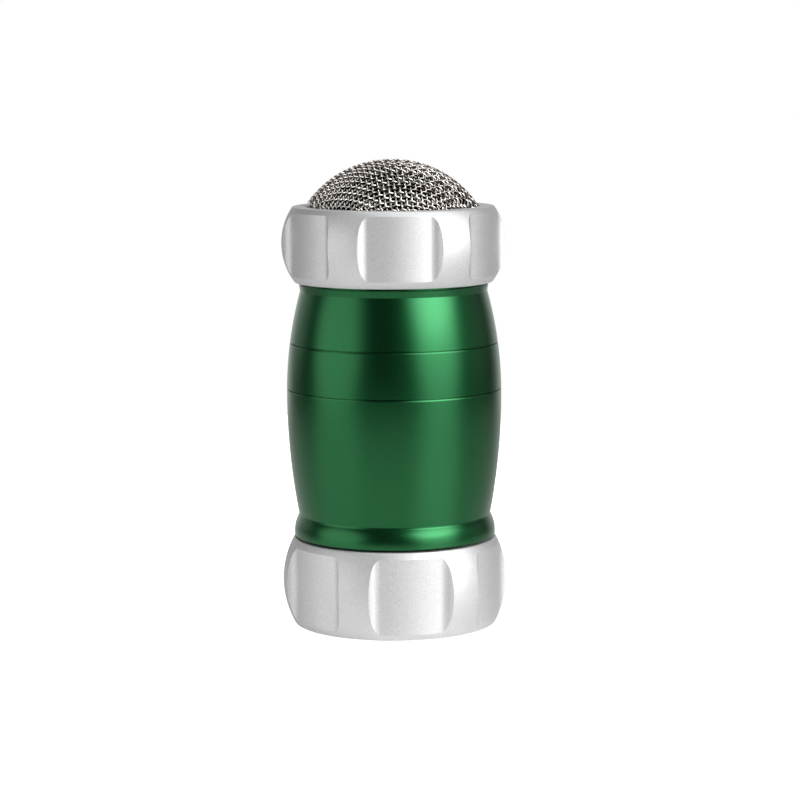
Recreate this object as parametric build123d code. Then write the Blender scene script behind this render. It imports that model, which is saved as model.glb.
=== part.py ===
from build123d import *
import math
import os

# Sugar shaker, in millimetres and degrees. It stands on its bottom ring nut, with the
# origin on the table under its middle, +Z up and its front facing -Y.

# Barrel: a straight bore, with the outside set by the wall at each height
bore_radius = 24.2
foot_wall = 5.2
waist_wall = 3.8
belly_wall = 7.1
collar_wall = 3.0
collar_flare = 0.35
foot_bead_height = 6.1
bead_peak_height = 1.1
waist_to_belly = 35.4
belly_to_collar = 30.05
collar_height = 2.0
waist_fillet = 1.2
barrel_edge_chamfer = 0.25

# Two fine grooves that frame the middle band, each a slot over a sloped lip
slot_width = 0.35
slot_depth = 1.0
lip_slope_width = 0.4
lip_slope_depth = 0.1
band_above_belly = 1.88
band_height = 13.0

# Threaded necks, the same at both ends
neck_wall = 1.75
neck_end_chamfer = 0.4
thread_pitch = 2.0
thread_turns = 3
thread_depth = 0.7
thread_root_width = 1.05
thread_crest_width = 0.45
thread_lead_in = 2.5
thread_bury = 0.15
screw_clearance = 0.2

# Ring nuts
ring_mouth_chamfer = 0.4
shoulder_gap = 0.6
top_ring_height = 21.85
top_ring_edge_wall = 2.35
top_ring_skirt_wall = 1.9
top_ring_crown = 3.3
top_lip_thickness = 1.6
top_lip_overlap = 0.8
top_lip_round = 0.5
top_skirt_round = 0.4
bottom_ring_height = 25.4
bottom_ring_edge_wall = 2.65
bottom_ring_skirt_wall = 2.65
bottom_ring_crown = 3.35
bottom_lip_thickness = 2.0
bottom_lip_overlap = 3.0
bottom_lip_round = 0.7
bottom_skirt_round = 0.4

# Six grip scallops round each ring, and how far each ring is turned from the front
grip_count = 6
top_grip_width = 25.4
top_grip_corner_radius = 3.3
top_grip_depth = 2.4
top_grip_turn = 3.6
bottom_grip_width = 26.2
bottom_grip_corner_radius = 3.6
bottom_grip_depth = 2.4
bottom_grip_turn = 8.6

# Wire dome, its folded hoop, the base disc and the seals
wire_diameter = 0.45
wire_pitch = 1.55
wires_per_bar = 2
weave_turn = 7.0
dome_rise = 13.65
dome_clearance = 0.25
hoop_sheet = 0.4
hoop_fit = 0.05
disc_thickness = 2.0
disc_chamfer = 0.3
seal_thickness = 1.5
seat_clearance = 0.25
bedding_gap = 0.15

# Radii that fit each other, from the bore outwards
neck_radius = bore_radius + neck_wall
neck_crest_radius = neck_radius + thread_depth
ring_crest_radius = neck_radius + screw_clearance
ring_bore_radius = neck_crest_radius + screw_clearance
top_ring_edge_radius = ring_bore_radius + top_ring_edge_wall
top_ring_skirt_radius = ring_bore_radius + top_ring_skirt_wall
bottom_ring_edge_radius = ring_bore_radius + bottom_ring_edge_wall
bottom_ring_skirt_radius = ring_bore_radius + bottom_ring_skirt_wall
insert_radius = ring_crest_radius - seat_clearance
pocket_radius = insert_radius + screw_clearance
top_lip_radius = insert_radius - top_lip_overlap
bottom_lip_radius = insert_radius - bottom_lip_overlap
dome_foot_radius = top_lip_radius - dome_clearance
mesh_thickness = 2 * wire_diameter
hoop_height = mesh_thickness + 2 * hoop_sheet

# Heights above the table
foot_height = bottom_ring_height + shoulder_gap
waist_height = foot_height + foot_bead_height
belly_height = waist_height + waist_to_belly
collar_start_height = belly_height + belly_to_collar
shoulder_height = collar_start_height + collar_height
top_ring_start = shoulder_height + shoulder_gap
rim_height = top_ring_start + top_ring_height
hoop_top = rim_height - top_lip_thickness - bedding_gap
hoop_bottom = hoop_top - hoop_height
neck_top = hoop_bottom - seal_thickness - bedding_gap
disc_bottom = bottom_lip_thickness + bedding_gap
disc_top = disc_bottom + disc_thickness
neck_bottom = disc_top + seal_thickness + bedding_gap


def turned(outline):
    """Turn a closed outline, drawn as radius and height, about the Z axis."""
    return revolve(Plane.XZ * make_face(outline), Axis.Z)


def washer(outer_radius, inner_radius, bottom, thickness):
    """A flat ring lying at a given height."""
    flat = Circle(outer_radius) - Circle(inner_radius)
    return extrude(Pos(0, 0, bottom) * flat, thickness)


def thread_ridge(wall_radius, crest_radius, middle_height):
    """A right-hand helical ridge that starts at a height and grows from a wall to its crest."""
    rise = crest_radius - wall_radius
    flare = (thread_root_width - thread_crest_width) / 2 / abs(rise)
    buried_radius = wall_radius - math.copysign(thread_bury, rise)
    buried_half_width = thread_root_width / 2 + flare * thread_bury
    path = Helix(thread_pitch, thread_pitch * thread_turns, wall_radius)
    section = Polyline(
        (buried_radius, -buried_half_width),
        (crest_radius, -thread_crest_width / 2),
        (crest_radius, thread_crest_width / 2),
        (buried_radius, buried_half_width),
        close=True,
    )
    ridge = sweep(Plane.XZ * make_face(section), path, is_frenet=True)
    return Pos(0, 0, middle_height) * ridge


def thread_start(neck_length):
    """Height of the first turn above the shoulder, counted back from the neck's end."""
    return neck_length - thread_lead_in - thread_pitch * thread_turns


def threaded_neck(neck_length):
    """A neck that stands on a shoulder at zero height, with its thread."""
    tube = washer(neck_radius, bore_radius, -thread_bury, neck_length + thread_bury)
    end_edges = tube.edges().group_by(Axis.Z)[-1]
    tube = chamfer(end_edges, neck_end_chamfer)
    return tube + thread_ridge(neck_radius, neck_crest_radius, thread_start(neck_length))


def groove_cutter(bottom):
    """A thin ring that cuts one groove: a slot that starts at a height, and the sloped lip under it."""
    surface_radius = barrel_radius(bottom)
    clear_radius = surface_radius + slot_depth
    lip_rise = barrel_radius(bottom - lip_slope_width) - surface_radius + lip_slope_depth
    slope_reach = lip_slope_width * (slot_depth + lip_slope_depth) / lip_rise
    section = Polyline(
        (surface_radius - slot_depth, bottom),
        (surface_radius - slot_depth, bottom + slot_width),
        (clear_radius, bottom + slot_width),
        (clear_radius, bottom - slope_reach),
        (surface_radius - lip_slope_depth, bottom),
        close=True,
    )
    return turned(section)


def barrel_radius(height):
    """Outside radius of the barrel above its belly, on the arc from belly to collar."""
    drop = belly_wall - collar_wall
    arc_radius = (belly_to_collar**2 + drop**2) / (2 * drop)
    rise = height - belly_height
    return bore_radius + belly_wall - arc_radius + math.sqrt(arc_radius**2 - rise**2)


def make_barrel_body():
    """The barrel: foot bead, waist, belly, collar, bore, two grooves and a neck at each end."""
    bead_peak = (bore_radius + foot_wall, foot_height + bead_peak_height)
    bead_drop = foot_wall - waist_wall
    bead_arc = ((foot_bead_height - bead_peak_height) ** 2 + bead_drop**2) / (2 * bead_drop)
    foot_tuck = bead_arc - math.sqrt(bead_arc**2 - bead_peak_height**2)
    foot = (bore_radius + foot_wall - foot_tuck, foot_height)
    waist = (bore_radius + waist_wall, waist_height)
    belly = (bore_radius + belly_wall, belly_height)
    collar = (bore_radius + collar_wall, collar_start_height)
    shoulder = (bore_radius + collar_wall + collar_flare, shoulder_height)
    outline = Curve() + [
        ThreePointArc(foot, bead_peak, waist),
        TangentArc(belly, waist, tangent=(0, -1)),
        TangentArc(belly, collar, tangent=(0, 1)),
        Line(collar, shoulder),
        Line(shoulder, (bore_radius, shoulder_height)),
        Line((bore_radius, shoulder_height), (bore_radius, foot_height)),
        Line((bore_radius, foot_height), foot),
    ]
    section = make_face(outline)
    section = fillet(section.vertices().sort_by_distance(waist)[0], waist_fillet)
    edge_corners = [section.vertices().sort_by_distance(corner)[0] for corner in (foot, shoulder)]
    section = chamfer(edge_corners, barrel_edge_chamfer)
    barrel = revolve(Plane.XZ * section, Axis.Z)
    band_bottom = belly_height + band_above_belly
    barrel -= groove_cutter(band_bottom - slot_width)
    barrel -= groove_cutter(band_bottom + band_height)
    upper_neck = Pos(0, 0, shoulder_height) * threaded_neck(neck_top - shoulder_height)
    lower_neck = Pos(0, 0, foot_height) * Rot(180, 0, 0) * threaded_neck(foot_height - neck_bottom)
    return barrel + upper_neck + lower_neck


def ring_nut(
    height, edge_radius, skirt_radius, crown, lip_radius, lip_thickness, lip_round, skirt_round, neck_length
):
    """A ring nut with its lip on top and its open end at zero height, before the grips are cut."""
    ledge = height - lip_thickness
    step = neck_length - shoulder_gap
    middle = (edge_radius + crown, height / 2)
    skirt = (skirt_radius, 0)
    rim = (edge_radius, height)
    outline = Curve() + [
        ThreePointArc(skirt, middle, rim),
        Polyline(
            rim,
            (lip_radius, height),
            (lip_radius, ledge),
            (pocket_radius, ledge),
            (pocket_radius, step),
            (ring_bore_radius, step),
            (ring_bore_radius, 0),
            skirt,
        ),
    ]
    section = make_face(outline)
    section = fillet(section.vertices().sort_by_distance(rim)[0], lip_round)
    section = fillet(section.vertices().sort_by_distance(skirt)[0], skirt_round)
    mouth = section.vertices().sort_by_distance((ring_bore_radius, 0))[0]
    section = chamfer(mouth, ring_mouth_chamfer)
    ring = revolve(Plane.XZ * section, Axis.Z)
    first_turn = thread_start(neck_length) - shoulder_gap + thread_pitch / 2
    return ring + thread_ridge(ring_bore_radius, ring_crest_radius, first_turn)


def grip_cutters(ring_radius, depth, width, corner_radius, bottom, height, turn):
    """Six upright cutters with round floors and filleted corners, the first near the front."""
    floor_radius = ring_radius - depth
    reach = 2 * (corner_radius + depth) + width
    block = Pos(0, -floor_radius, 0) * Rectangle(width, reach)
    scoop = block - Circle(floor_radius)
    corners = scoop.vertices().filter_by(lambda corner: abs(Vector(corner).length - floor_radius) < thread_bury)
    scoop = fillet(corners, corner_radius)
    cutter = extrude(Pos(0, 0, bottom) * scoop, height)
    step = 360 / grip_count
    return [Rot(0, 0, turn + index * step) * cutter for index in range(grip_count)]


def make_top_ring_nut():
    """The ring nut that clamps the wire dome on the upper neck."""
    ring = ring_nut(
        top_ring_height,
        top_ring_edge_radius,
        top_ring_skirt_radius,
        top_ring_crown,
        top_lip_radius,
        top_lip_thickness,
        top_lip_round,
        top_skirt_round,
        neck_top - shoulder_height,
    )
    grips = grip_cutters(
        top_ring_edge_radius + top_ring_crown,
        top_grip_depth,
        top_grip_width,
        top_grip_corner_radius,
        top_ring_start,
        top_ring_height,
        top_grip_turn,
    )
    return Pos(0, 0, top_ring_start) * ring - grips


def make_bottom_ring_nut():
    """The taller ring nut that carries the base disc and stands on the table."""
    ring = ring_nut(
        bottom_ring_height,
        bottom_ring_edge_radius,
        bottom_ring_skirt_radius,
        bottom_ring_crown,
        bottom_lip_radius,
        bottom_lip_thickness,
        bottom_lip_round,
        bottom_skirt_round,
        foot_height - neck_bottom,
    )
    grips = grip_cutters(
        bottom_ring_edge_radius + bottom_ring_crown,
        bottom_grip_depth,
        bottom_grip_width,
        bottom_grip_corner_radius,
        0,
        bottom_ring_height,
        bottom_grip_turn,
    )
    return Pos(0, 0, bottom_ring_height) * Rot(180, 0, 0) * ring - grips


def make_mesh_dome():
    """The wire dome: a spherical cap with square openings, a short skirt and a flange."""
    arc_radius = (dome_foot_radius**2 + dome_rise**2) / (2 * dome_rise)
    centre_height = rim_height + dome_rise - arc_radius
    inner_radius = arc_radius - mesh_thickness
    inner_foot = dome_foot_radius - mesh_thickness
    inner_foot_height = centre_height + math.sqrt(inner_radius**2 - inner_foot**2)
    flange_top = hoop_top - hoop_sheet
    flange_bottom = hoop_bottom + hoop_sheet
    flange_radius = insert_radius - hoop_sheet
    apex = (0, rim_height + dome_rise)
    inner_apex = (0, centre_height + inner_radius)
    outline = Curve() + [
        TangentArc(apex, (dome_foot_radius, rim_height), tangent=(1, 0)),
        Polyline(
            (dome_foot_radius, rim_height),
            (dome_foot_radius, flange_top),
            (flange_radius, flange_top),
            (flange_radius, flange_bottom),
            (inner_foot, flange_bottom),
            (inner_foot, inner_foot_height),
        ),
        TangentArc(inner_apex, (inner_foot, inner_foot_height), tangent=(1, 0)),
        Line(inner_apex, apex),
    ]
    dome = turned(outline)
    return dome - screen_openings(inner_foot)


def screen_openings(screen_radius):
    """Upright square prisms for the openings of the weave, cut off round a plain rim.

    The weave is drawn coarser than it is: each bar stands for a few wires side by side.
    """
    pitch = wires_per_bar * wire_pitch
    bar = wires_per_bar * wire_diameter
    opening_radius = screen_radius - bar
    rows = math.ceil(opening_radius / pitch)
    places = [
        (column * pitch, row * pitch)
        for column in range(-rows, rows + 1)
        for row in range(-rows, rows + 1)
        if math.hypot(column * pitch, row * pitch) < opening_radius
    ]
    pattern = Sketch() + [Pos(x, y) * Rectangle(pitch - bar, pitch - bar) for x, y in places]
    pattern = Rot(0, 0, weave_turn) * pattern & Circle(opening_radius)
    return extrude(Pos(0, 0, rim_height) * pattern, dome_rise)


def make_mesh_rim_hoop():
    """The steel hoop, folded to a channel over the edge of the wire."""
    hoop = washer(insert_radius, dome_foot_radius + hoop_fit, hoop_bottom, hoop_height)
    channel = washer(insert_radius - hoop_sheet, dome_foot_radius, hoop_bottom + hoop_sheet, mesh_thickness)
    return hoop - channel


def make_top_seal():
    """The washer between the hoop and the upper neck."""
    return washer(insert_radius, bore_radius, hoop_bottom - seal_thickness, seal_thickness)


def make_base_disc():
    """The disc that closes the bottom, with broken edges."""
    disc = extrude(Pos(0, 0, disc_bottom) * Circle(insert_radius), disc_thickness)
    return chamfer(disc.edges(), disc_chamfer)


def make_base_seal():
    """The washer between the disc and the lower neck."""
    return washer(insert_radius, bore_radius, disc_top, seal_thickness)


pieces = {
    "barrel_body": make_barrel_body,
    "top_ring_nut": make_top_ring_nut,
    "mesh_dome": make_mesh_dome,
    "mesh_rim_hoop": make_mesh_rim_hoop,
    "top_seal": make_top_seal,
    "bottom_ring_nut": make_bottom_ring_nut,
    "base_disc": make_base_disc,
    "base_seal": make_base_seal,
}

os.makedirs("parts", exist_ok=True)
for name, make in pieces.items():
    export_step(make(), f"parts/{name}.step")
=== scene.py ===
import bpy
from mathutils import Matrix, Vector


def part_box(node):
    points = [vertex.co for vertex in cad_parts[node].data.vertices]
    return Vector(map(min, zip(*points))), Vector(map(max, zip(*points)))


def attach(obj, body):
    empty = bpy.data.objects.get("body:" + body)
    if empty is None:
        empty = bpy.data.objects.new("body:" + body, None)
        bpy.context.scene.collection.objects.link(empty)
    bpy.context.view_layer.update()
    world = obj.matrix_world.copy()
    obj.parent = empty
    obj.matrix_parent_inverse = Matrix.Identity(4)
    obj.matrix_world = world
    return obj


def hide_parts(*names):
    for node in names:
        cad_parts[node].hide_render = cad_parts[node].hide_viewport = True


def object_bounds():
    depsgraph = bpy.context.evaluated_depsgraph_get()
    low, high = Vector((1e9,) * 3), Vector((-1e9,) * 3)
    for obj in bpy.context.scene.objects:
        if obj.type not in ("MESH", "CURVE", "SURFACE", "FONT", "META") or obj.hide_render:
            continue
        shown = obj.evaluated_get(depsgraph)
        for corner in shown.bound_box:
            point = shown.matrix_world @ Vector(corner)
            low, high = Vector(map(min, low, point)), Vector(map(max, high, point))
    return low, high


bl_info = {
    "name": "Sugar shaker",
    "version": (1, 0, 0),
    "blender": (4, 5, 0),
    "location": "View3D > Sidebar > Shaker",
    "description": "Models the finish of a sugar shaker round its packed solids",
    "category": "Add Mesh",
}

import math
from collections import namedtuple

import bmesh
import bpy
from bpy.props import FloatProperty, FloatVectorProperty, IntProperty, PointerProperty
from bpy.types import NodeSocket, Operator, Panel, PropertyGroup
from mathutils import Matrix, Vector

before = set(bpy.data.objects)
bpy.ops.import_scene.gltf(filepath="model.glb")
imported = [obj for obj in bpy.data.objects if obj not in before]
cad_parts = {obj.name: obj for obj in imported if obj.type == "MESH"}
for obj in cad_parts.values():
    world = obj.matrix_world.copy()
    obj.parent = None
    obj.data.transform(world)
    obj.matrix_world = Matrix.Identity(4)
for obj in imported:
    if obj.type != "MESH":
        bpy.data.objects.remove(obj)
cad_low, cad_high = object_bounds()

MM = 0.001
UP = (0, 0, 1)
BARREL_LOW, BARREL_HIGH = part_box("barrel_body")
TOP_RING_LOW, TOP_RING_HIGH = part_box("top_ring_nut")
BOTTOM_RING_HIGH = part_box("bottom_ring_nut")[1]
HOOP_LOW, HOOP_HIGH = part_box("mesh_rim_hoop")

# Steps that the turned pieces and the threads are spun with.
BARREL_STEPS = 288
RING_STEPS = 240
THREAD_STEPS = 72
FLOOR_STEPS = 96

# Steps along each round stretch of an outline.
BEAD_STEPS = 16
WAIST_STEPS = 10
LOWER_BOW_STEPS = 28
BAND_STEPS = 10
UPPER_BOW_STEPS = 14
RING_BOW_STEPS = 24
GRIP_CORNER_STEPS = 12
GRIP_FLOOR_STEPS = 28
CARD_STEPS = 48

# Segments of the rounded corners, from the roundest to a plain chamfer.
FOOT_SEGMENTS = 8
RIM_SEGMENTS = 5
HOLE_SEGMENTS = 3
CHAMFER_SEGMENTS = 1

# The cloth is laid past the dome's edge, because its crossings draw together at the corners. A wire
# is bent in this many places from one crossing to the next, and a stub of a few points is left off.
CLOTH_SPARE = 1.35
WIRE_BENDS = 5
SHORTEST_WIRE = 8

MERGE_DISTANCE = 0.002 * MM


def linear(hex_colour):
    """Turn an sRGB hex colour into linear red, green and blue."""
    shares = [int(hex_colour[place:place + 2], 16) / 255 for place in (0, 2, 4)]
    return tuple(s / 12.92 if s <= 0.04045 else ((s + 0.055) / 1.055) ** 2.4 for s in shares)


def length(name, description, millimetres):
    """A length property, given in millimetres."""
    return FloatProperty(
        name=name, description=description, default=millimetres * MM, unit="LENGTH", precision=5
    )


def angle(name, description, degrees):
    """An angle property, given in degrees."""
    return FloatProperty(
        name=name, description=description, default=math.radians(degrees), subtype="ANGLE"
    )


def brightness(name, description, value):
    """A brightness property, as a share of white."""
    return FloatProperty(name=name, description=description, default=value, min=0)


def colour(name, description, hex_colour):
    """A colour property, given as an sRGB hex value."""
    return FloatVectorProperty(
        name=name, description=description, default=linear(hex_colour), subtype="COLOR", min=0, max=1
    )


class ShakerBarrelSizes(PropertyGroup):
    """Sizes of the turned barrel and the threads on its necks."""

    bore_radius: length("Bore radius", "Inside of the barrel", 24.2)
    foot_radius: length("Foot radius", "Widest part of the foot bead", 29.4)
    waist_radius: length("Waist radius", "Corner between the bead and the barrel", 28.0)
    belly_radius: length("Belly radius", "Widest part of the barrel", 31.3)
    collar_radius: length("Collar radius", "Narrowest part, where the collar starts", 27.2)
    collar_flare: length("Collar flare", "How far the collar spreads under the top ring", 0.35)
    bead_height: length("Bead height", "Foot bead, from its lower edge to the waist", 6.1)
    bead_peak: length("Bead peak", "Widest part of the bead above its lower edge", 1.1)
    waist_to_belly: length("Waist to belly", "Height of the lower bow", 35.4)
    belly_to_collar: length("Belly to collar", "Height of the upper bow", 30.05)
    collar_height: length("Collar height", "Flared collar", 2.0)
    waist_reach: length("Waist reach", "How far the waist's rounding runs up and down", 0.45)
    waist_blend: length("Waist blend", "How softly the bead runs into the barrel", 0.34)
    edge_chamfer: length("Edge chamfer", "Broken edge at the foot and the shoulder", 0.25)
    slot_width: length("Slot width", "Slot at each end of the middle band", 0.35)
    slot_depth: length("Slot depth", "Depth of each slot", 1.0)
    lip_slope_width: length("Lip slope width", "Sloped lip under each slot", 0.4)
    lip_slope_depth: length("Lip slope depth", "How far the lip slopes in", 0.1)
    band_above_belly: length("Band above belly", "Lower end of the band above the widest part", 1.88)
    band_height: length("Band height", "Middle band, from slot to slot", 13.0)
    neck_radius: length("Neck radius", "Outside of the necks, under the thread", 25.95)
    neck_chamfer: length("Neck chamfer", "Broken edges at the ends of the necks", 0.4)
    shoulder_gap: length("Shoulder gap", "Gap between a ring nut and the barrel", 0.6)
    thread_pitch: length("Thread pitch", "Rise of the thread in one turn", 2.0)
    thread_turns: IntProperty(name="Thread turns", description="Turns on each neck", default=3, min=1)
    thread_depth: length("Thread depth", "Height of a thread over its wall", 0.7)
    thread_root: length("Thread root", "Width of a thread at its wall", 1.05)
    thread_crest: length("Thread crest", "Width of a thread at its crest", 0.45)
    thread_lead_in: length("Thread lead in", "Plain end of each neck", 2.5)
    thread_bury: length("Thread bury", "How deep a thread runs into its wall", 0.15)
    screw_clearance: length("Screw clearance", "Gap between the two threads", 0.2)


class ShakerRingFits(PropertyGroup):
    """Sizes that both ring nuts share."""

    bore_radius: length("Bore radius", "Inside of a ring, outside its thread", 26.85)
    pocket_radius: length("Pocket radius", "Seat for the dome or the base", 26.1)
    mouth_chamfer: length("Mouth chamfer", "Broken edge at the threaded end", 0.4)
    hole_rounding: length("Hole rounding", "Reach of the rounding in the lip's hole", 0.15)
    grip_count: IntProperty(name="Grips", description="Scallops round each ring", default=6, min=3)


class ShakerTopRingSizes(PropertyGroup):
    """Sizes of the ring nut that clamps the dome."""

    edge_radius: length("Edge radius", "Outside of the ring at its lip", 29.2)
    skirt_radius: length("Skirt radius", "Outside of the ring at its open end", 28.75)
    crown: length("Crown", "Swell of the ring over its lip's edge", 3.3)
    lip_radius: length("Lip radius", "Hole that the dome stands in", 25.1)
    lip_thickness: length("Lip thickness", "Lip that clamps the dome", 1.6)
    lip_rounding: length("Lip rounding", "Reach of the rounding on top of the ring", 0.27)
    skirt_rounding: length("Skirt rounding", "Reach of the rounding under the ring", 0.22)
    grip_width: length("Grip width", "Width of a scallop", 25.4)
    grip_corner: length("Grip corner", "Radius between a scallop's floor and its walls", 3.3)
    grip_depth: length("Grip depth", "Depth of a scallop", 2.4)
    grip_turn: angle("Grip turn", "How far the ring is turned", 3.6)


class ShakerBottomRingSizes(PropertyGroup):
    """Sizes of the ring nut that carries the base."""

    edge_radius: length("Edge radius", "Outside of the ring at its lip", 29.5)
    skirt_radius: length("Skirt radius", "Outside of the ring at its open end", 29.5)
    crown: length("Crown", "Swell of the ring over its lip's edge", 3.35)
    lip_radius: length("Lip radius", "Hole under the base disc", 22.9)
    lip_thickness: length("Lip thickness", "Lip that carries the base", 2.0)
    lip_rounding: length("Lip rounding", "Reach of the rounding under the ring", 0.38)
    skirt_rounding: length("Skirt rounding", "Reach of the rounding on top of the ring", 0.22)
    grip_width: length("Grip width", "Width of a scallop", 26.2)
    grip_corner: length("Grip corner", "Radius between a scallop's floor and its walls", 3.6)
    grip_depth: length("Grip depth", "Depth of a scallop", 2.4)
    grip_turn: angle("Grip turn", "How far the ring is turned", 8.6)


class ShakerDomeSizes(PropertyGroup):
    """Sizes of the woven wire dome."""

    wire: length("Wire", "Diameter of the wire", 0.52)
    pitch: length("Pitch", "Distance from wire to wire", 1.5)
    rise: length("Rise", "Height of the dome above the ring", 13.65)
    foot_radius: length("Foot radius", "Outside of the dome at the ring", 24.85)
    crimp: length("Crimp", "How far a wire bends to each side at a crossing", 0.26)
    lean: length("Lean", "How far the dome is pressed over to the left", 0.45)
    fullness: length("Fullness", "How far the dome swells over its foot", 0.35)
    swell_start: length("Swell start", "Distance over which the lean and the swell set in", 1.3)
    weave_turn: angle("Weave turn", "How far the weave is turned from the front", 7.0)


class ShakerFinish(PropertyGroup):
    """Colours of the finishes, and of the painted shade on the wires."""

    green_dye: colour("Green dye", "Dyed anodised aluminium of the barrel", "226B3D")
    ring_metal: colour("Ring metal", "Blasted aluminium of the rings", "F9F9FA")
    wire_steel: colour("Wire steel", "Drawn stainless wire", "F4EEE8")
    # Painted shade: the near black that the sides and the inside of each wire are painted with.
    wire_painted_shade: colour("Wire skin", "Dull mill skin on the sides of each wire", "0C0C0B")
    sheet_steel: colour("Sheet steel", "Rolled stainless sheet", "BDB9B4")
    silicone: colour("Silicone", "Moulded seals", "C9C8C2")


class ShakerStage(PropertyGroup):
    """Camera, lights and floor, with a painted pool of light on the floor and a black card of painted
    shade.
    """

    lens: FloatProperty(name="Lens", description="Focal length in millimetres", default=117)
    sensor: FloatProperty(name="Sensor", description="Width of the sensor in millimetres", default=36)
    nearest: length("Nearest", "Nearest distance that the camera sees", 10)
    distance: length("Distance", "Camera to the object's axis, along the floor", 753.6)
    height: length("Height", "Camera above the floor", 163.7)
    pitch: angle("Pitch", "How far the camera looks down", 7.44)
    pan: angle("Pan", "How far the camera looks to the right", 0.165)
    roll: angle("Roll", "How far the camera is tipped", 0.28)
    light_distance: length("Light distance", "From the object to each soft light", 1300)
    card_distance: length("Card distance", "From the object to the black card behind it", 6000)
    floor_white: colour("Floor white", "Pale acrylic floor", "DCDCDA")
    floor_radius: length("Floor radius", "Round floor under the object", 450)
    # The pool is painted light: a round patch in front of the object where the floor glows, with no lamp
    # under it.
    painted_pool_place: FloatVectorProperty(
        name="Pool place", description="Middle of the light under the floor",
        default=(-80 * MM, -110 * MM, 0), unit="LENGTH",
    )
    painted_pool_radius: length("Pool radius", "Reach of the light under the floor", 400)
    painted_pool_glow: brightness("Pool glow", "Brightness of the floor in the middle of its light", 0.27)
    studio_dim: brightness("Studio dim", "Brightness of the studio in front of the object", 0.045)
    backdrop_bright: brightness("Backdrop bright", "Brightness of the backdrop behind the object", 0.8)
    # The card is painted shade: a black sheet behind the dome, where the openings should look shaded.
    painted_shade_card_black: colour("Card black", "Black card behind the dome", "050505")


def deselect_all():
    """Leave edit mode and let go of everything."""
    if bpy.context.object and bpy.context.object.mode != "OBJECT":
        bpy.ops.object.mode_set(mode="OBJECT")
    bpy.ops.object.select_all(action="DESELECT")


def pick(piece):
    """Select one piece alone and make it the active one."""
    deselect_all()
    piece.select_set(True)
    bpy.context.view_layer.objects.active = piece


def even_steps(start, stop, count):
    """Evenly spaced values from start to stop, both included."""
    return [start + (stop - start) * index / count for index in range(count + 1)]


def bowed_radius(widest, drop, reach, distance):
    """Radius on an arc that is widest at distance zero and has dropped by drop at reach."""
    bow = (reach**2 + drop**2) / (2 * drop)
    return widest - bow + math.sqrt(bow**2 - distance**2)


def soft_larger(first, second, blend):
    """The larger of two values, rounded where they cross."""
    overlap = max(blend - abs(first - second), 0) / blend
    return max(first, second) + overlap**2 * blend / 4


def arc_points(first, middle, last, count):
    """Evenly spaced points on the arc from the first point through the middle one to the last."""
    (x1, y1), (x2, y2), (x3, y3) = first, middle, last
    far1, far2, far3 = x1**2 + y1**2, x2**2 + y2**2, x3**2 + y3**2
    area = 2 * (x1 * (y2 - y3) + x2 * (y3 - y1) + x3 * (y1 - y2))
    x = (far1 * (y2 - y3) + far2 * (y3 - y1) + far3 * (y1 - y2)) / area
    y = (far1 * (x3 - x2) + far2 * (x1 - x3) + far3 * (x2 - x1)) / area
    radius = math.hypot(x1 - x, y1 - y)
    swings = even_steps(math.atan2(y1 - y, x1 - x), math.atan2(y3 - y, x3 - x), count)
    return [(x + radius * math.cos(swing), y + radius * math.sin(swing)) for swing in swings]


def trace_outline(name, points):
    """Extrude one vertex along a closed outline and stay in edit mode."""
    deselect_all()
    bpy.ops.mesh.primitive_plane_add(size=MM)
    piece = bpy.context.object
    piece.name = name
    bpy.ops.object.mode_set(mode="EDIT")
    bpy.ops.mesh.merge(type="CENTER")
    bpy.ops.transform.translate(value=points[0])
    for here, there in zip(points, points[1:]):
        bpy.ops.mesh.extrude_region_move(TRANSFORM_OT_translate={"value": Vector(there) - Vector(here)})
    select_vertices(piece, [points[0], points[-1]])
    bpy.ops.mesh.edge_face_add()
    return piece


def select_vertices(piece, places):
    """Select only the vertices that lie at the given places."""
    bpy.ops.mesh.select_all(action="DESELECT")
    mesh = bmesh.from_edit_mesh(piece.data)
    for place in places:
        nearest = min(mesh.verts, key=lambda vertex: (vertex.co - Vector(place)).length)
        nearest.select_set(True)
    mesh.select_flush(True)
    bmesh.update_edit_mesh(piece.data)


def turn_outline(name, outline, roundings, steps):
    """Trace an outline of radius and height, round its corners and spin it about the axis."""
    piece = trace_outline(name, [(radius, 0, height) for radius, height in outline])
    for (radius, height), reach, segments in roundings:
        select_vertices(piece, [(radius, 0, height)])
        bpy.ops.mesh.bevel(offset=reach, segments=segments, affect="VERTICES")
    bpy.ops.mesh.select_all(action="SELECT")
    bpy.ops.mesh.spin(steps=steps, angle=math.tau, center=(0, 0, 0), axis=UP)
    close_skin()
    bpy.ops.object.mode_set(mode="OBJECT")
    return piece


def close_skin():
    """Merge doubled vertices and point all faces outwards, in edit mode."""
    bpy.ops.mesh.select_all(action="SELECT")
    bpy.ops.mesh.remove_doubles(threshold=MERGE_DISTANCE)
    bpy.ops.mesh.normals_make_consistent(inside=False)


def smooth(piece, degrees):
    """Shade a piece smooth, with its sharper corners kept."""
    pick(piece)
    bpy.ops.object.shade_smooth_by_angle(angle=math.radians(degrees))


def apply_modifier(piece, kind, **settings):
    """Add a modifier with its settings and apply it."""
    pick(piece)
    modifier = piece.modifiers.new(kind.title(), kind)
    for option, value in settings.items():
        setattr(modifier, option, value)
    bpy.ops.object.modifier_apply(modifier=modifier.name)


def join(piece, *others):
    """Join other pieces into one."""
    pick(piece)
    for other in others:
        other.select_set(True)
    bpy.ops.object.join()


def settle(piece, height, turn=0.0):
    """Turn a piece about the X axis and lift it, with its place kept in its mesh."""
    pick(piece)
    piece.rotation_euler.x = turn
    piece.location.z = height
    bpy.ops.object.transform_apply(location=True, rotation=True, scale=False)


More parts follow.
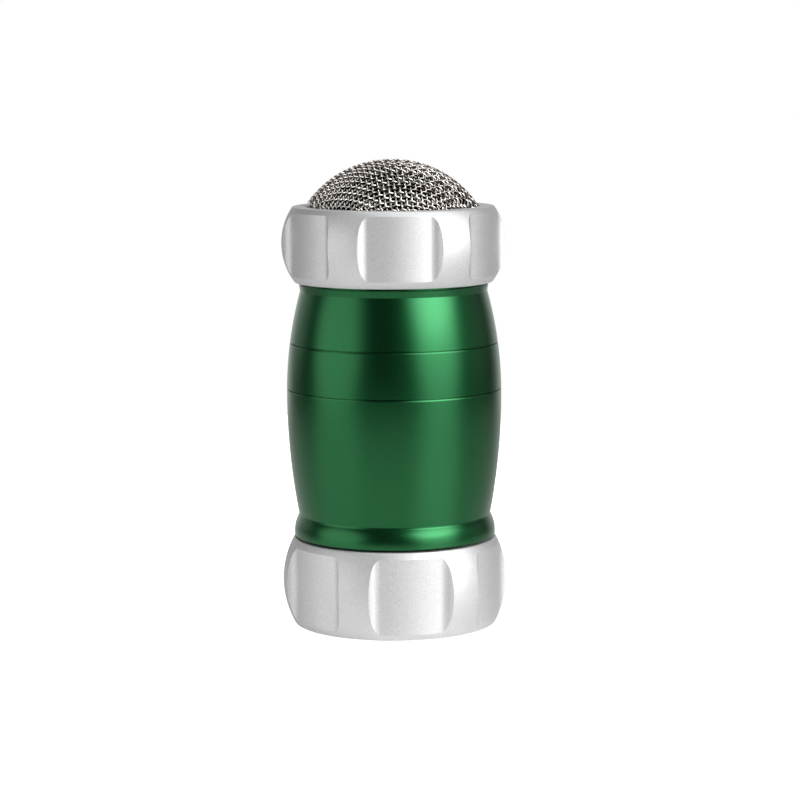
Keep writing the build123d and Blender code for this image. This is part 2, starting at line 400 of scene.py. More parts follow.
def thread_ridge(name, sizes, wall_radius, crest_radius, first_turn):
    """A helical ridge from a wall to its crest, wound upwards from its first turn."""
    bury = math.copysign(sizes.thread_bury, crest_radius - wall_radius)
    half_root = sizes.thread_root / 2
    half_crest = sizes.thread_crest / 2
    section = [
        (wall_radius - bury, 0, first_turn - half_root),
        (crest_radius, 0, first_turn - half_crest),
        (crest_radius, 0, first_turn + half_crest),
        (wall_radius - bury, 0, first_turn + half_root),
    ]
    ridge = trace_outline(name, section)
    bpy.ops.object.mode_set(mode="OBJECT")
    apply_modifier(
        ridge, "SCREW", axis="Z", angle=math.tau, iterations=sizes.thread_turns,
        screw_offset=sizes.thread_pitch, steps=THREAD_STEPS, render_steps=THREAD_STEPS,
        use_merge_vertices=False,
    )
    bpy.ops.object.mode_set(mode="EDIT")
    bpy.ops.mesh.select_all(action="SELECT")
    bpy.ops.mesh.fill_holes(sides=4)
    close_skin()
    bpy.ops.object.mode_set(mode="OBJECT")
    return ridge


def barrel_outline(sizes):
    """The barrel's closed outline, from the foot up the outside and down the bore."""
    foot = BOTTOM_RING_HIGH.z + sizes.shoulder_gap
    waist = foot + sizes.bead_height
    belly = waist + sizes.waist_to_belly
    collar = belly + sizes.belly_to_collar
    shoulder = collar + sizes.collar_height
    chamfer = sizes.edge_chamfer
    neck_chamfer = sizes.neck_chamfer
    bore = sizes.bore_radius
    neck = sizes.neck_radius

    def bead_radius(height):
        drop = sizes.foot_radius - sizes.waist_radius
        reach = sizes.bead_height - sizes.bead_peak
        return bowed_radius(sizes.foot_radius, drop, reach, height - foot - sizes.bead_peak)

    def lower_radius(height):
        drop = sizes.belly_radius - sizes.waist_radius
        return bowed_radius(sizes.belly_radius, drop, sizes.waist_to_belly, height - belly)

    def waist_radius(height):
        return soft_larger(bead_radius(height), lower_radius(height), sizes.waist_blend)

    def upper_radius(height):
        drop = sizes.belly_radius - sizes.collar_radius
        return bowed_radius(sizes.belly_radius, drop, sizes.belly_to_collar, height - belly)

    def collar_radius(height):
        return sizes.collar_radius + sizes.collar_flare * (height - collar) / sizes.collar_height

    def groove(bottom):
        """Up the sloped lip and through the slot over it, back to the bow."""
        surface = upper_radius(bottom)
        lip = bottom - sizes.lip_slope_width
        top = bottom + sizes.slot_width
        return [
            (upper_radius(lip), lip),
            (surface - sizes.lip_slope_depth, bottom),
            (surface - sizes.slot_depth, bottom),
            (surface - sizes.slot_depth, top),
            (upper_radius(top), top),
        ]

    def along(radius_at, start, stop, count):
        return [(radius_at(height), height) for height in even_steps(start, stop, count)]

    waist_low = waist - sizes.waist_reach
    waist_high = waist + sizes.waist_reach
    band_low = belly + sizes.band_above_belly
    band_high = band_low + sizes.band_height
    outline = [(bead_radius(foot), foot)]
    outline += along(bead_radius, foot + chamfer, waist_low, BEAD_STEPS)[:-1]
    outline += along(waist_radius, waist_low, waist_high, WAIST_STEPS)
    outline += along(lower_radius, waist_high, belly, LOWER_BOW_STEPS)[1:]
    outline += groove(band_low - sizes.slot_width)
    outline += along(upper_radius, band_low, band_high - sizes.lip_slope_width, BAND_STEPS)[1:-1]
    outline += groove(band_high)
    outline += along(upper_radius, band_high + sizes.slot_width, collar, UPPER_BOW_STEPS)[1:]
    outline += [
        (collar_radius(shoulder - chamfer), shoulder - chamfer),
        (collar_radius(shoulder) - chamfer, shoulder),
        (neck, shoulder),
        (neck, BARREL_HIGH.z - neck_chamfer),
        (neck - neck_chamfer, BARREL_HIGH.z),
        (bore + neck_chamfer, BARREL_HIGH.z),
        (bore, BARREL_HIGH.z - neck_chamfer),
        (bore, BARREL_LOW.z + neck_chamfer),
        (bore + neck_chamfer, BARREL_LOW.z),
        (neck - neck_chamfer, BARREL_LOW.z),
        (neck, BARREL_LOW.z + neck_chamfer),
        (neck, foot),
    ]
    return outline


class SHAKER_OT_barrel(Operator):
    """Turn the barrel with its bead, grooves and bore, and cut the threads on its necks"""

    bl_idname = "shaker.barrel"
    bl_label = "Barrel"

    def execute(self, context):
        sizes = context.scene.shaker_barrel
        outline = barrel_outline(sizes)
        foot_rounding = (outline[0], sizes.edge_chamfer, FOOT_SEGMENTS)
        barrel = turn_outline("turned_barrel", outline, [foot_rounding], BARREL_STEPS)
        crest = sizes.neck_radius + sizes.thread_depth
        run_out = sizes.thread_lead_in + sizes.thread_pitch * sizes.thread_turns
        foot = BOTTOM_RING_HIGH.z + sizes.shoulder_gap
        upper = thread_ridge("upper_thread", sizes, sizes.neck_radius, crest, BARREL_HIGH.z - run_out)
        lower_start = foot - BARREL_LOW.z - run_out
        lower = thread_ridge("lower_thread", sizes, sizes.neck_radius, crest, lower_start)
        settle(lower, foot, math.pi)
        join(barrel, upper, lower)
        smooth(barrel, degrees=12)
        barrel.data.materials.append(green_anodised_aluminium(context.scene.shaker_finish))
        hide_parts("barrel_body")
        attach(barrel, "barrel")
        return {"FINISHED"}


def ring_blank(name, fits, sizes, height, step):
    """A ring nut before its grips are cut, with its threaded end at zero and its lip on top.

    The threaded bore ends at the step, where the narrower pocket starts.
    """
    skirt = (sizes.skirt_radius, 0)
    rim = (sizes.edge_radius, height)
    hole = (sizes.lip_radius, height)
    mouth = (fits.bore_radius, 0)
    ledge = height - sizes.lip_thickness
    widest = sizes.edge_radius + sizes.crown
    outline = arc_points(skirt, (widest, height / 2), rim, RING_BOW_STEPS)
    outline += [
        hole,
        (sizes.lip_radius, ledge),
        (fits.pocket_radius, ledge),
        (fits.pocket_radius, step),
        (fits.bore_radius, step),
        mouth,
    ]
    roundings = [
        (rim, sizes.lip_rounding, RIM_SEGMENTS),
        (skirt, sizes.skirt_rounding, RIM_SEGMENTS),
        (hole, fits.hole_rounding, HOLE_SEGMENTS),
        (mouth, fits.mouth_chamfer, CHAMFER_SEGMENTS),
    ]
    return turn_outline(name, outline, roundings, RING_STEPS)


def grip_plan(sizes, floor_radius):
    """Plan of one grip cutter, facing the front: a round floor, corner arcs and walls.

    The walls end well outside the ring.
    """
    corner = sizes.grip_corner
    half_width = sizes.grip_width / 2
    corner_x = half_width - corner
    corner_y = -math.sqrt((floor_radius + corner) ** 2 - corner_x**2)
    spread = math.atan2(corner_x, -corner_y)
    right = [
        (corner_x + corner * math.cos(swing), corner_y + corner * math.sin(swing))
        for swing in even_steps(math.pi / 2 + spread, 0, GRIP_CORNER_STEPS)
    ]
    right.append((half_width, -2 * floor_radius))
    floor = [
        (floor_radius * math.sin(swing), -floor_radius * math.cos(swing))
        for swing in even_steps(-spread, spread, GRIP_FLOOR_STEPS)
    ]
    left = [(-x, y) for x, y in reversed(right)]
    return left + floor[1:-1] + right


def cut_grips(ring, fits, sizes):
    """Cut the scallops into a ring, with cutters that run past it by a millimetre."""
    floor_radius = sizes.edge_radius + sizes.crown - sizes.grip_depth
    low = min(corner[2] for corner in ring.bound_box) - MM
    high = max(corner[2] for corner in ring.bound_box) + MM
    turned = Matrix.Rotation(sizes.grip_turn, 3, "Z")
    plan = [turned @ Vector((x, y, low)) for x, y in grip_plan(sizes, floor_radius)]
    cutter = trace_outline("grip_cutter", plan)
    bpy.ops.mesh.select_all(action="SELECT")
    bpy.ops.mesh.edge_face_add()
    bpy.ops.mesh.extrude_region_move(TRANSFORM_OT_translate={"value": (0, 0, high - low)})
    bpy.ops.mesh.select_all(action="SELECT")
    copies = fits.grip_count - 1
    sweep = math.tau * copies / fits.grip_count
    bpy.ops.mesh.spin(steps=copies, dupli=True, angle=sweep, center=(0, 0, 0), axis=UP)
    bpy.ops.mesh.select_all(action="SELECT")
    bpy.ops.mesh.normals_make_consistent(inside=False)
    bpy.ops.object.mode_set(mode="OBJECT")
    apply_modifier(ring, "BOOLEAN", operation="DIFFERENCE", solver="EXACT", object=cutter)
    bpy.data.objects.remove(cutter)


class SHAKER_OT_ring_nuts(Operator):
    """Turn the two ring nuts, cut their grips and add their inner threads"""

    bl_idname = "shaker.ring_nuts"
    bl_label = "Ring nuts"

    def execute(self, context):
        scene = context.scene
        barrel = scene.shaker_barrel
        fits = scene.shaker_ring_fits
        top_sizes = scene.shaker_top_ring
        bottom_sizes = scene.shaker_bottom_ring
        material = blasted_aluminium(scene.shaker_finish)
        top_neck = BARREL_HIGH.z - TOP_RING_LOW.z + barrel.shoulder_gap
        top_height = TOP_RING_HIGH.z - TOP_RING_LOW.z
        top = ring_nut("top_grip_ring", fits, top_sizes, barrel, top_height, top_neck)
        settle(top, TOP_RING_LOW.z)
        cut_grips(top, fits, top_sizes)
        bottom_neck = BOTTOM_RING_HIGH.z + barrel.shoulder_gap - BARREL_LOW.z
        bottom_height = BOTTOM_RING_HIGH.z
        bottom = ring_nut("bottom_grip_ring", fits, bottom_sizes, barrel, bottom_height, bottom_neck)
        settle(bottom, bottom_height, math.pi)
        cut_grips(bottom, fits, bottom_sizes)
        rings = (
            (top, "top_ring_nut", "top_ring"),
            (bottom, "bottom_ring_nut", "bottom_ring"),
        )
        for ring, node, body in rings:
            smooth(ring, degrees=20)
            ring.data.materials.clear()
            ring.data.materials.append(material)
            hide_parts(node)
            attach(ring, body)
        return {"FINISHED"}


def ring_nut(name, fits, sizes, barrel, height, neck):
    """A ring nut with its inner thread, for a neck of the given length."""
    blank = ring_blank(name, fits, sizes, height, neck - barrel.shoulder_gap)
    run_out = barrel.thread_lead_in + barrel.thread_pitch * barrel.thread_turns
    first_turn = neck - run_out - barrel.shoulder_gap + barrel.thread_pitch / 2
    crest = barrel.neck_radius + barrel.screw_clearance
    ridge = thread_ridge(name + "_thread", barrel, fits.bore_radius, crest, first_turn)
    join(blank, ridge)
    return blank


def weave_nodes(reach, step):
    """Crossings of an evenly pitched cloth, laid over a unit sphere from its top."""
    nodes = {}
    for index in range(-reach, reach + 1):
        nodes[index, 0] = Vector((math.sin(index * step), 0, math.cos(index * step)))
        nodes[0, index] = Vector((0, math.sin(index * step), math.cos(index * step)))
    for side in (-1, 1):
        for end in (-1, 1):
            for column in range(1, reach + 1):
                for row in range(1, reach + 1):
                    beside = nodes[side * column, end * (row - 1)]
                    before = nodes[side * (column - 1), end * row]
                    behind = nodes[side * (column - 1), end * (row - 1)]
                    middle = (beside + before).normalized()
                    nodes[side * column, end * row] = 2 * middle.dot(behind) * middle - behind
    return nodes


class Dome:
    """The surface that the wires follow: a cap, a short skirt and a flange in the hoop."""

    def __init__(self, sizes):
        rise = sizes.rise
        outer = (sizes.foot_radius**2 + rise**2) / (2 * rise)
        self.radius = outer - sizes.wire
        self.centre = TOP_RING_HIGH.z + rise - outer
        self.foot = sizes.foot_radius - sizes.wire
        self.rim_angle = math.asin(self.foot / self.radius)
        self.drop = self.centre + self.radius * math.cos(self.rim_angle) - (HOOP_LOW.z + HOOP_HIGH.z) / 2
        self.reach = self.rim_angle + (self.drop + sizes.wire) / self.radius
        self.lean = Vector((-sizes.lean, 0, 0))
        self.fullness = sizes.fullness / math.sin(self.rim_angle)
        self.swell_angle = sizes.swell_start / self.radius

    def place(self, direction, offset):
        """A point on the surface, lifted off it by an offset."""
        polar = direction.angle(Vector(UP))
        level = Vector((direction.x, direction.y, 0))
        if polar <= self.rim_angle:
            share = min((self.rim_angle - polar) / self.swell_angle, 1)
            swell = share**2 * (3 - 2 * share) * (self.lean + level * self.fullness)
            return Vector((0, 0, self.centre)) + direction * (self.radius + offset) + swell
        outward = level.normalized()
        past = (polar - self.rim_angle) * self.radius
        start = self.centre + self.radius * math.cos(self.rim_angle)
        if past <= self.drop:
            return outward * (self.foot + offset) + Vector((0, 0, start - past))
        return outward * (self.foot + past - self.drop) + Vector((0, 0, start - self.drop + offset))


def wire_path(dome, row, crimp, first_side):
    """Points along one wire, up and down over the wires that it crosses."""
    points = []
    for index, (here, there) in enumerate(zip(row, row[1:])):
        side = first_side if index % 2 == 0 else -first_side
        for bend in range(WIRE_BENDS):
            share = bend / WIRE_BENDS
            direction = here.lerp(there, share).normalized()
            if direction.angle(Vector(UP)) <= dome.reach:
                points.append(dome.place(direction, side * crimp * math.cos(math.pi * share)))
    return points


class SHAKER_OT_wire_dome(Operator):
    """Weave the dome from two sets of crimped wires"""

    bl_idname = "shaker.wire_dome"
    bl_label = "Wire dome"

    def execute(self, context):
        sizes = context.scene.shaker_dome
        dome = Dome(sizes)
        step = sizes.pitch / dome.radius
        reach = math.ceil(CLOTH_SPARE * dome.reach / step)
        nodes = weave_nodes(reach, step)
        turned = Matrix.Rotation(sizes.weave_turn, 3, "Z")
        curve = bpy.data.curves.new("woven_wire_dome", "CURVE")
        curve.dimensions = "3D"
        curve.bevel_depth = sizes.wire / 2
        curve.bevel_resolution = 1
        curve.use_fill_caps = True
        span = range(-reach, reach + 1)
        for line in span:
            warp = [turned @ nodes[line, index] for index in span]
            weft = [turned @ nodes[index, line] for index in span]
            for row, side in ((warp, 1), (weft, -1)):
                parity = side if (line + reach) % 2 == 0 else -side
                points = wire_path(dome, row, sizes.crimp, parity)
                if len(points) < SHORTEST_WIRE:
                    continue
                spline = curve.splines.new("POLY")
                spline.points.add(len(points) - 1)
                for knot, point in zip(spline.points, points):
                    knot.co = (*point, 1)
        wires = bpy.data.objects.new("woven_wire_dome", curve)
        context.collection.objects.link(wires)
        pick(wires)
        bpy.ops.object.convert(target="MESH")
        wires = context.object
        smooth(wires, degrees=60)
        wires.data.materials.clear()
        wires.data.materials.append(drawn_steel_wire(context.scene.shaker_finish, dome.centre))
        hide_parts("mesh_dome")
        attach(wires, "mesh_insert")
        return {"FINISHED"}


class SHAKER_OT_inner_fittings(Operator):
    """Give the hoop, the base disc and the seals their finishes"""

    bl_idname = "shaker.inner_fittings"
    bl_label = "Inner fittings"

    def execute(self, context):
        finish = context.scene.shaker_finish
        steel = rolled_steel_sheet(finish)
        rubber = moulded_silicone(finish)
        disc = faced_aluminium(finish)
        wanted = {
            "mesh_rim_hoop": steel,
            "base_disc": disc,
            "top_seal": rubber,
            "base_seal": rubber,
        }
        for node, material in wanted.items():
            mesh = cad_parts[node].data
            mesh.materials.clear()
            mesh.materials.append(material)
        return {"FINISHED"}


def add_node(tree, kind, inputs=None, **settings):
    """Add a node, set its options, and fill its sockets with values or other nodes' outputs."""
    node = tree.nodes.new(kind)
    for option, value in settings.items():
        setattr(node, option, value)
    for socket, value in (inputs or {}).items():
        if isinstance(value, NodeSocket):
            tree.links.new(value, node.inputs[socket])
        else:
            node.inputs[socket].default_value = value
    return node


def new_material(name, base, metallic, roughness):
    """A material with its main shader set, and its tree and shader."""
    material = bpy.data.materials.new(name)
    material.use_nodes = True
    shader = material.node_tree.nodes["Principled BSDF"]
    shader.inputs["Base Color"].default_value = (*base, 1)
    shader.inputs["Metallic"].default_value = metallic
    shader.inputs["Roughness"].default_value = roughness
    return material, material.node_tree, shader


def green_anodised_aluminium(finish):
    """Turned aluminium, dyed green in its oxide layer and sealed.

    The metal under the clear dyed layer gives deep coloured reflections, the layer's own skin
    gives a paler gloss at the edges, and the fine turning marks draw the highlights upwards.
    """
    material, tree, shader = new_material("green_anodised_aluminium_turned", finish.green_dye, 1, 0.3)
    shader.inputs["Coat Weight"].default_value = 0.33
    shader.inputs["Coat Roughness"].default_value = 0.18
    place = add_node(tree, "ShaderNodeTexCoord").outputs["Object"]
    height = add_node(tree, "ShaderNodeSeparateXYZ", {"Vector": place}).outputs["Z"]
    # The turning marks lie about 0.1 mm apart, drawn at 0.3 mm so that they show.
    mark = 0.3 * MM
    level = add_node(tree, "ShaderNodeMath", {0: height, 1: 1 / mark}, operation="MULTIPLY")
    marks = add_node(tree, "ShaderNodeTexNoise", {"W": level.outputs[0], "Scale": 1.0, "Detail": 2.0},
                     noise_dimensions="1D")
    bump = add_node(tree, "ShaderNodeBump",
                    {"Height": marks.outputs[0], "Strength": 0.06, "Distance": 0.05 * MM})
    tree.links.new(bump.outputs[0], shader.inputs["Normal"])
    return material


def blasted_aluminium(finish):
    """Clear anodised aluminium, blasted with fine glass beads.

    The dimpled surface spreads every reflection into a soft silver sheen with a fine grain,
    and its deeper dimples are painted darker, as painted shade.
    """
    metal = finish.ring_metal
    material, tree, shader = new_material("clear_anodised_aluminium_bead_blasted", metal, 1, 0.57)
    place = add_node(tree, "ShaderNodeTexCoord").outputs["Object"]
    # The blasted surface reflects less at grazing angles, so its rims are duller than its face, and its
    # deepest dimples are painted darker, as painted shade.
    rim_share = 0.6
    dimple_shade_share = 0.87
    shader.inputs["Specular Tint"].default_value = (rim_share, rim_share, rim_share, 1)
    # The dimples are about 0.1 mm across, drawn at 0.3 mm so that they show.
    grain = 0.3 * MM
    dimples = add_node(tree, "ShaderNodeTexNoise", {"Vector": place, "Scale": 1 / grain, "Detail": 1.0})
    bump = add_node(tree, "ShaderNodeBump",
                    {"Height": dimples.outputs[0], "Strength": 0.5, "Distance": 0.06 * MM})
    tree.links.new(bump.outputs[0], shader.inputs["Normal"])
    # Painted shade: the lower a dimple lies in the bump, the darker its colour.
    dimple_shade = [dimple_shade_share * channel for channel in metal]
    dimple_shade_mask = add_node(tree, "ShaderNodeMapRange",
                       {"Value": dimples.outputs[0], "From Min": 0.3, "From Max": 0.6})
    tone = add_node(
        tree, "ShaderNodeMix",
        {"Factor": dimple_shade_mask.outputs[0], 6: (*dimple_shade, 1), 7: (*metal, 1)},
        data_type="RGBA",
    )
    tree.links.new(tone.outputs[2], shader.inputs["Base Color"])
    return material


def drawn_steel_wire(finish, centre):
    """Stainless wire, drawn bright and crimped in weaving, with painted shade on its sides and inside.

    Each crimp catches a small hard glint. Where a wire's face turns away from the outside of the dome,
    on its sides and on the inside of the cloth, its colour and its reflections are painted near black
    as painted shade, so that the weave stands out.
    """
    material, tree, shader = new_material("stainless_steel_wire_drawn", finish.wire_steel, 1, 0.28)
    coordinates = add_node(tree, "ShaderNodeTexCoord")
    place = coordinates.outputs["Object"]
    # Drawing marks along the wire are a few hundredths of a millimetre wide, drawn at 0.2 mm.
    mark = 0.2 * MM
    marks = add_node(tree, "ShaderNodeTexNoise", {"Vector": place, "Scale": 1 / mark, "Detail": 2.0})
    rough = add_node(tree, "ShaderNodeMapRange",
                     {"Value": marks.outputs[0], "To Min": 0.12, "To Max": 0.3})
    tree.links.new(rough.outputs[0], shader.inputs["Roughness"])
    outward = add_node(tree, "ShaderNodeVectorMath", {0: place, 1: (0, 0, centre)}, operation="SUBTRACT")
    outward = add_node(tree, "ShaderNodeVectorMath", {0: outward.outputs[0]}, operation="NORMALIZE")
    normal = coordinates.outputs["Normal"]
    facing = add_node(tree, "ShaderNodeVectorMath", {0: outward.outputs[0], 1: normal},
                      operation="DOT_PRODUCT")
    # Painted shade: faces that turn away from the outside of the dome get the dark tone, in colour and in
    # reflection tint.
    unshaded_share = add_node(tree, "ShaderNodeMapRange",
                      {"Value": facing.outputs["Value"], "From Min": 0.15, "From Max": 0.6})
    painted_shade = add_node(
        tree, "ShaderNodeMix",
        {"Factor": unshaded_share.outputs[0], 6: (*finish.wire_painted_shade, 1), 7: (*finish.wire_steel, 1)},
        data_type="RGBA",
    )
    tree.links.new(painted_shade.outputs[2], shader.inputs["Base Color"])
    tree.links.new(painted_shade.outputs[2], shader.inputs["Specular Tint"])
    return material


def rolled_steel_sheet(finish):
    """Cold rolled stainless sheet, with a dull even grain from the rolls."""
    material, tree, shader = new_material("stainless_steel_sheet_rolled", finish.sheet_steel, 1, 0.35)
    place = add_node(tree, "ShaderNodeTexCoord").outputs["Object"]
    # The grain is a few hundredths of a millimetre wide, drawn at 0.25 mm so that it shows.
    grain = 0.25 * MM
    marks = add_node(tree, "ShaderNodeTexNoise", {"Vector": place, "Scale": 1 / grain, "Detail": 2.0})
    rough = add_node(tree, "ShaderNodeMapRange",
                     {"Value": marks.outputs[0], "To Min": 0.28, "To Max": 0.45})
    tree.links.new(rough.outputs[0], shader.inputs["Roughness"])
    return material


def faced_aluminium(finish):
    """Aluminium faced on a lathe, with fine rings round the middle."""
    material, tree, shader = new_material("clear_anodised_aluminium_faced", finish.ring_metal, 1, 0.38)
    place = add_node(tree, "ShaderNodeTexCoord").outputs["Object"]
    flat = add_node(tree, "ShaderNodeVectorMath", {0: place, 1: (1, 1, 0)}, operation="MULTIPLY")
    radius = add_node(tree, "ShaderNodeVectorMath", {0: flat.outputs[0]}, operation="LENGTH")
    # The cutting marks lie about 0.1 mm apart, drawn at 0.35 mm so that they show.
    mark = 0.35 * MM
    level = add_node(tree, "ShaderNodeMath", {0: radius.outputs["Value"], 1: 1 / mark},
                     operation="MULTIPLY")
    marks = add_node(tree, "ShaderNodeTexNoise", {"W": level.outputs[0], "Scale": 1.0, "Detail": 2.0},
                     noise_dimensions="1D")
    bump = add_node(tree, "ShaderNodeBump",
                    {"Height": marks.outputs[0], "Strength": 0.15, "Distance": 0.05 * MM})
    tree.links.new(bump.outputs[0], shader.inputs["Normal"])
    return material


def moulded_silicone(finish):
    """Moulded silicone rubber: milky, soft and slightly glossy, with a faint mould grain."""
    material, tree, shader = new_material("silicone_rubber_moulded", finish.silicone, 0, 0.45)
    shader.inputs["Subsurface Weight"].default_value = 0.2
    shader.inputs["Subsurface Scale"].default_value = 0.5 * MM
    place = add_node(tree, "ShaderNodeTexCoord").outputs["Object"]
    # The mould's grain is about 0.05 mm wide, drawn at 0.3 mm so that it shows.
    grain = 0.3 * MM
    marks = add_node(tree, "ShaderNodeTexNoise", {"Vector": place, "Scale": 1 / grain, "Detail": 2.0})
    bump = add_node(tree, "ShaderNodeBump",
                    {"Height": marks.outputs[0], "Strength": 0.1, "Distance": 0.05 * MM})
    tree.links.new(bump.outputs[0], shader.inputs["Normal"])
    return material


def pale_acrylic(stage):
    """White acrylic sheet with a soft sheen at low angles, and a painted pool of light in front of the
    object, where it glows though no lamp lights it.

    Seen from above it is an even white, and from below it is clear, so that the underside shows.
    """
    material, tree, shader = new_material("white_acrylic_sheet", stage.floor_white, 0, 0.22)
    shader.inputs["Emission Color"].default_value = (1, 1, 1, 1)
    place = add_node(tree, "ShaderNodeTexCoord").outputs["Object"]
    radius = add_node(tree, "ShaderNodeVectorMath", {0: place, 1: stage.painted_pool_place}, operation="DISTANCE")
    # Painted light: the floor's own glow, brightest at the pool's middle, shows in reflections; for the
    # camera the floor is an even white.
    pool = add_node(
        tree, "ShaderNodeMapRange",
        {"Value": radius.outputs["Value"], "From Min": stage.painted_pool_radius, "From Max": 0,
         "To Min": 0, "To Max": stage.painted_pool_glow},
        interpolation_type="SMOOTHSTEP",
    )
    seen = add_node(tree, "ShaderNodeLightPath").outputs["Is Camera Ray"]
    glow = add_node(tree, "ShaderNodeMath", {0: seen, 1: pool.outputs[0]}, operation="MAXIMUM")
    tree.links.new(glow.outputs[0], shader.inputs["Emission Strength"])
    below = add_node(tree, "ShaderNodeNewGeometry").outputs["Backfacing"]
    above = add_node(tree, "ShaderNodeMath", {0: 1.0, 1: below}, operation="SUBTRACT")
    tree.links.new(above.outputs[0], shader.inputs["Alpha"])
    return material


def painted_shade_card_finish(stage):
    """Black card with a matt print, put far behind the dome as painted shade, so dark that the openings of
    the dome read as black.
    """
    material, tree, shader = new_material("black_card_matt", stage.painted_shade_card_black, 0, 0.9)
    place = add_node(tree, "ShaderNodeTexCoord").outputs["Object"]
    # The fibres are about 2 mm long.
    fibre = 2 * MM
    fibres = add_node(tree, "ShaderNodeTexNoise", {"Vector": place, "Scale": 1 / fibre})
    rough = add_node(tree, "ShaderNodeMapRange",
                     {"Value": fibres.outputs[0], "To Min": 0.8, "To Max": 1.0})
    tree.links.new(rough.outputs[0], shader.inputs["Roughness"])
    return material


def painted_shade_card(stage, sizes):
    """A black card far behind the dome, cut to the dome's outline as the camera sees it: painted shade that
    darkens what shows through the dome's openings.
    """
    dome = Dome(sizes)
    eye = Vector((0, -stage.distance, stage.height))
    enlarged = 1 + stage.card_distance / stage.distance
    radius = dome.radius - sizes.wire
    corners = []
    for swing in even_steps(-dome.reach, dome.reach, CARD_STEPS):
        seen = dome.lean + Vector((radius * math.sin(swing), 0, dome.centre + radius * math.cos(swing)))
        corners.append(eye + enlarged * (seen - eye))
    card = trace_outline("black_card", corners)
    bpy.ops.mesh.select_all(action="SELECT")
    bpy.ops.mesh.edge_face_add()
    bpy.ops.object.mode_set(mode="OBJECT")
    card.data.materials.append(painted_shade_card_finish(stage))


def add_soft_light(soft, distance, aim):
    """A rectangular soft light, placed by its direction from the object, that fades towards its rim."""
    azimuth = math.radians(soft.azimuth)
    elevation = math.radians(soft.elevation)
    reach = distance * math.cos(elevation)
    place = Vector((
        reach * math.sin(azimuth),
        -reach * math.cos(azimuth),
        aim.z + distance * math.sin(elevation),
    ))
    deselect_all()
    bpy.ops.object.light_add(type="AREA", location=place)
    light = bpy.context.object
    light.name = soft.name
    light.rotation_euler = (aim - place).to_track_quat("-Z", "Y").to_euler()
    light.data.shape = "RECTANGLE"
    light.data.size = soft.width
    light.data.size_y = soft.height
    light.data.energy = math.pi * soft.width * soft.height * soft.brightness
    light.visible_camera = False
    light.data.use_nodes = True
    tree = light.data.node_tree
    face = add_node(tree, "ShaderNodeNewGeometry").outputs["Parametric"]
    middle = add_node(tree, "ShaderNodeVectorMath", {0: face, 1: (0.5, 0.5, 0)}, operation="SUBTRACT")
    spread = add_node(tree, "ShaderNodeVectorMath", {0: middle.outputs[0], 1: (2, 2, 0)},
                      operation="MULTIPLY")
    radius = add_node(tree, "ShaderNodeVectorMath", {0: spread.outputs[0]}, operation="LENGTH")
    fade = add_node(
        tree, "ShaderNodeMapRange",
        {"Value": radius.outputs["Value"], "From Min": soft.core, "From Max": 1.0,
         "To Min": 1.0, "To Max": 0.0},
        interpolation_type="SMOOTHSTEP",
    )
    tree.links.new(fade.outputs[0], tree.nodes["Emission"].inputs["Strength"])


def studio_world(scene, stage):
    """White behind the object and darker in front of it, and plain white where the camera sees it."""
    world = bpy.data.worlds.new("studio")
    world.use_nodes = True
    scene.world = world
    tree = world.node_tree
    background = tree.nodes["Background"]
    direction = add_node(tree, "ShaderNodeTexCoord").outputs["Generated"]
    depth = add_node(tree, "ShaderNodeSeparateXYZ", {"Vector": direction}).outputs["Y"]
    backdrop_edge = 0.6
    glow = add_node(
        tree, "ShaderNodeMapRange",
        {"Value": depth, "From Min": backdrop_edge, "From Max": 1.0,
         "To Min": stage.studio_dim, "To Max": stage.backdrop_bright},
        interpolation_type="SMOOTHSTEP",
    )
    seen = add_node(tree, "ShaderNodeLightPath").outputs["Is Camera Ray"]
    strength = add_node(tree, "ShaderNodeMath", {0: glow.outputs[0], 1: seen}, operation="MAXIMUM")
    tree.links.new(strength.outputs[0], background.inputs["Strength"])
    background.inputs["Color"].default_value = (1, 1, 1, 1)


# A soft light: its direction from the front and above the floor in degrees, the width and
# height of its face in metres, how bright the face is, and the share of it that is evenly bright.
SoftLight = namedtuple("SoftLight", "name azimuth elevation width height brightness core")
SOFT_LIGHTS = (
    SoftLight("key_light", 51, 28, 1.85, 1.0, 4.5, 0.35),
    SoftLight("key_glow", 50, 8, 1.7, 1.2, 1.8, 0.35),
    SoftLight("fill_light", -66, 10, 1.9, 1.5, 1.12, 0.5),
    SoftLight("left_light", -126, 8, 0.9, 0.8, 0.33, 0.3),
    SoftLight("right_light", 102, 8, 1.4, 0.8, 0.24, 0.35),
    SoftLight("front_light", 8, 62, 1.2, 0.7, 0.9, 0.3),
    SoftLight("top_light", 0, 89, 1.5, 1.5, 1.9, 0.3),
)


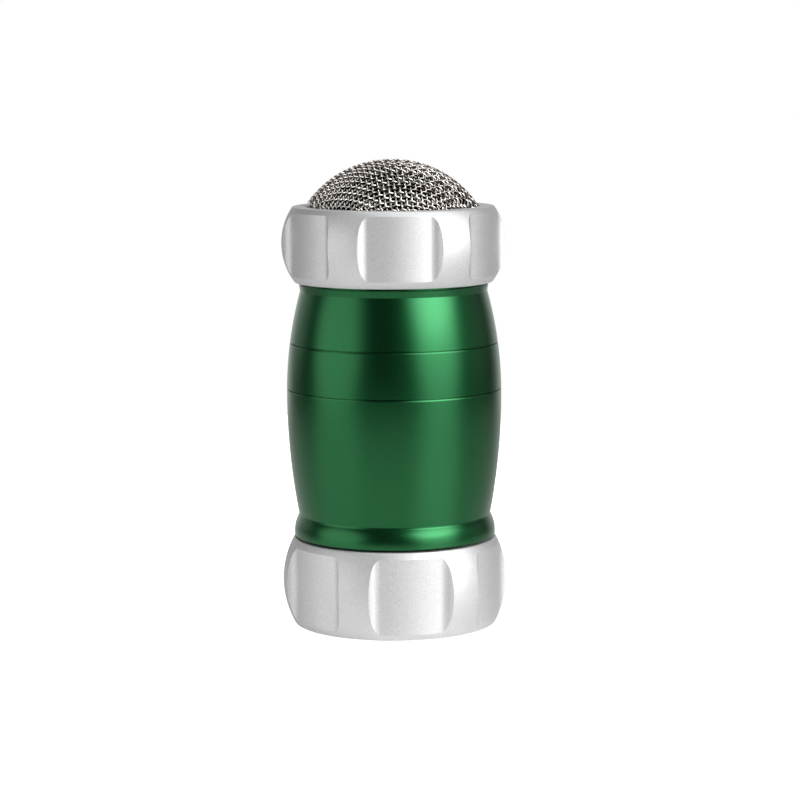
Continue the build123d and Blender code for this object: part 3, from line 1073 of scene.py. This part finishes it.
class SHAKER_OT_stage(Operator):
    """Set out the floor, the black card of painted shade, the soft lights and the camera"""

    bl_idname = "shaker.stage"
    bl_label = "Stage"

    def execute(self, context):
        scene = context.scene
        stage = scene.shaker_stage
        aim = Vector((0, 0, (cad_low.z + cad_high.z) / 2))
        deselect_all()
        bpy.ops.mesh.primitive_circle_add(vertices=FLOOR_STEPS, radius=stage.floor_radius, fill_type="NGON")
        floor = context.object
        floor.name = "acrylic_floor"
        floor.data.materials.append(pale_acrylic(stage))
        painted_shade_card(stage, scene.shaker_dome)
        for soft in SOFT_LIGHTS:
            add_soft_light(soft, stage.light_distance, aim)
        studio_world(scene, stage)
        scene.view_settings.view_transform = "Standard"
        bpy.ops.object.camera_add(location=(0, -stage.distance, stage.height))
        camera = context.object
        camera.rotation_euler = (math.pi / 2 - stage.pitch, stage.roll, -stage.pan)
        camera.data.lens = stage.lens
        camera.data.sensor_width = stage.sensor
        camera.data.clip_start = stage.nearest
        scene.camera = camera
        return {"FINISHED"}


class SHAKER_PT_panel(Panel):
    """The shaker's pieces and its stage, in the order they are made"""

    bl_label = "Sugar shaker"
    bl_idname = "SHAKER_PT_panel"
    bl_space_type = "VIEW_3D"
    bl_region_type = "UI"
    bl_category = "Shaker"

    def draw(self, context):
        for operator in OPERATORS:
            self.layout.operator(operator.bl_idname)


GROUPS = {
    "shaker_barrel": ShakerBarrelSizes,
    "shaker_ring_fits": ShakerRingFits,
    "shaker_top_ring": ShakerTopRingSizes,
    "shaker_bottom_ring": ShakerBottomRingSizes,
    "shaker_dome": ShakerDomeSizes,
    "shaker_finish": ShakerFinish,
    "shaker_stage": ShakerStage,
}
OPERATORS = (
    SHAKER_OT_barrel,
    SHAKER_OT_ring_nuts,
    SHAKER_OT_wire_dome,
    SHAKER_OT_inner_fittings,
    SHAKER_OT_stage,
)


def register():
    """Register the sizes, the operators and the panel."""
    for name, group in GROUPS.items():
        bpy.utils.register_class(group)
        setattr(bpy.types.Scene, name, PointerProperty(type=group))
    for operator in OPERATORS:
        bpy.utils.register_class(operator)
    bpy.utils.register_class(SHAKER_PT_panel)


def unregister():
    """Take out what register put in, in reverse order."""
    bpy.utils.unregister_class(SHAKER_PT_panel)
    for operator in reversed(OPERATORS):
        bpy.utils.unregister_class(operator)
    for name, group in reversed(GROUPS.items()):
        delattr(bpy.types.Scene, name)
        bpy.utils.unregister_class(group)


def main():
    """Make the whole shaker and its stage."""
    register()
    bpy.ops.shaker.barrel()
    bpy.ops.shaker.ring_nuts()
    bpy.ops.shaker.wire_dome()
    bpy.ops.shaker.inner_fittings()
    bpy.ops.shaker.stage()


if __name__ == "__main__":
    main()
